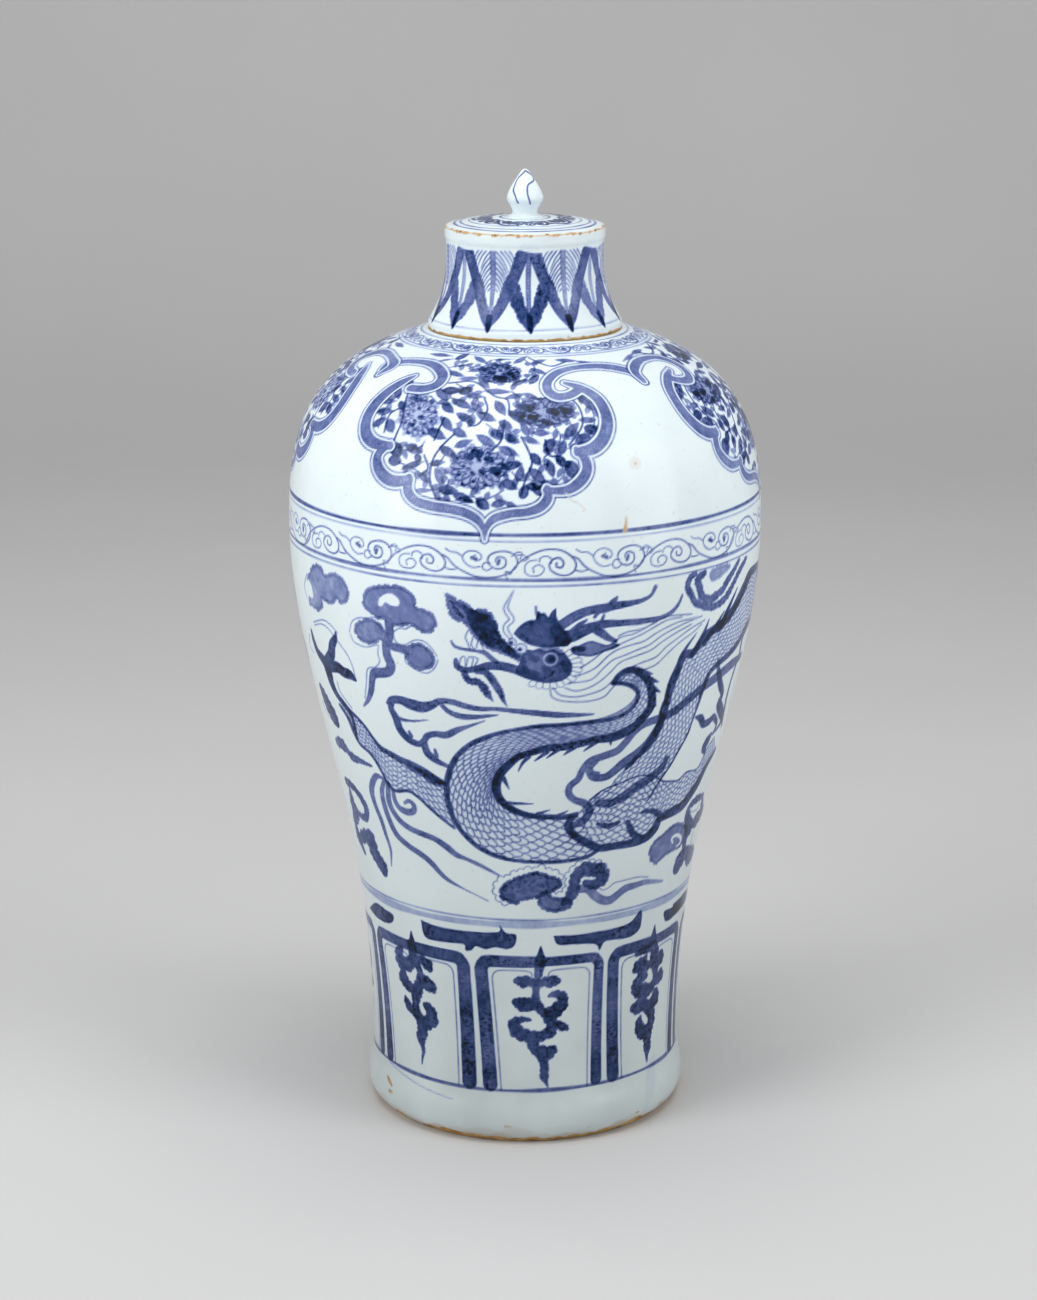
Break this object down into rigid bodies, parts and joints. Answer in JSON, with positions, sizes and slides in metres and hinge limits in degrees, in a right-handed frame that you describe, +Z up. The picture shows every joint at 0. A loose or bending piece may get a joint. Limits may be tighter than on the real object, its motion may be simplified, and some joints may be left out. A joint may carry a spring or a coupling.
{
  "type": "covered vase",
  "caption": "Tall high-shouldered porcelain vase with a narrow waist, spreading foot and lift-off drum-shaped cover with a bud knob, painted in blue.",
  "frame": {"origin": "middle of the flat ring that the foot stands on, at its lowest face", "axes": "+Z up along the vase's axis, +X to the right and +Y to the back when the painted front faces the viewer"},
  "size_m": [0.23, 0.23, 0.4665],
  "materials": {
    "body_glaze": "gloss bluish-white glaze with blue painting under it",
    "neck_glaze": "plain gloss bluish-white glaze",
    "cover_glaze": "gloss bluish-white glaze with blue painting under it",
    "bare_porcelain": "matt unglazed porcelain"
  },
  "bodies": {
    "vase": {"foot_section": "body_glaze", "lower_section": "body_glaze", "upper_section": "body_glaze", "shoulder_section": "body_glaze", "neck_ring": "neck_glaze"},
    "cover": {"cover_cap": "cover_glaze", "cover_sleeve": "bare_porcelain", "cover_knob": "cover_glaze"}
  },
  "joints": [
    {"name": "cover_lift", "type": "slide", "parent": "vase", "child": "cover", "axis": [0, 0, 1], "range_m": [0, 0.08]}
  ]
}
